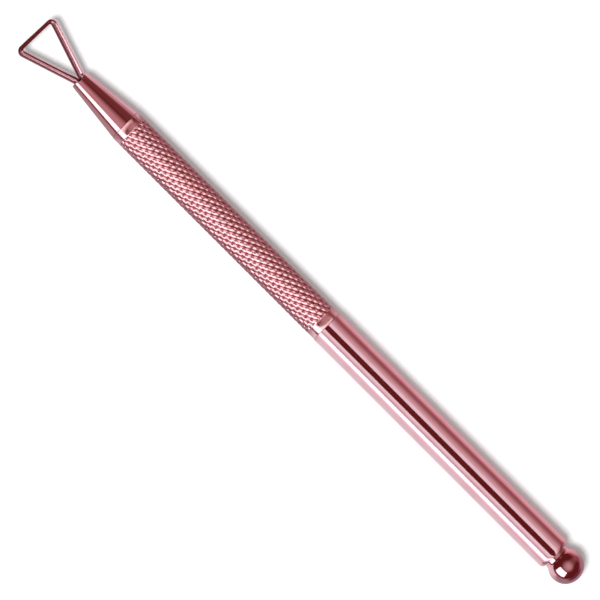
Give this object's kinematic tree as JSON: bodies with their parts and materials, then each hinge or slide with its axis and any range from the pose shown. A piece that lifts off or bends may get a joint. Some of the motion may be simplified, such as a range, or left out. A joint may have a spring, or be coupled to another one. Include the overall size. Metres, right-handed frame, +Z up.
{
  "type": "gel removal stick",
  "caption": "Slim round metal nail stick with a triangular bent-wire scraper at one end, a tapered nose, a diamond-knurled grip, a smooth barrel and a small ball at the other end.",
  "frame": {"origin": "on the surface that the stick lies on, under the middle of its length", "axes": "+Y along the stick towards the wire scraper, +Z up from the surface, +X across the stick in the plane of the wire triangle"},
  "size_m": [0.0082, 0.125, 0.006],
  "materials": {
    "plated_polished": "mirror-polished rose-gold plating on steel",
    "plated_wire": "polished rose-gold plating on drawn wire",
    "plated_knurled": "diamond knurl under rose-gold plating",
    "solder": "solder fill, plated over at its face",
    "bare_steel": "bare turned steel"
  },
  "bodies": {
    "root": {"scraper_loop": "plated_wire", "solder_plug": "solder", "nose_ferrule": "plated_polished", "knurled_grip": "plated_knurled", "joining_pin": "bare_steel", "smooth_barrel": "plated_polished", "ball_finial": "plated_polished"}
  },
  "joints": []
}
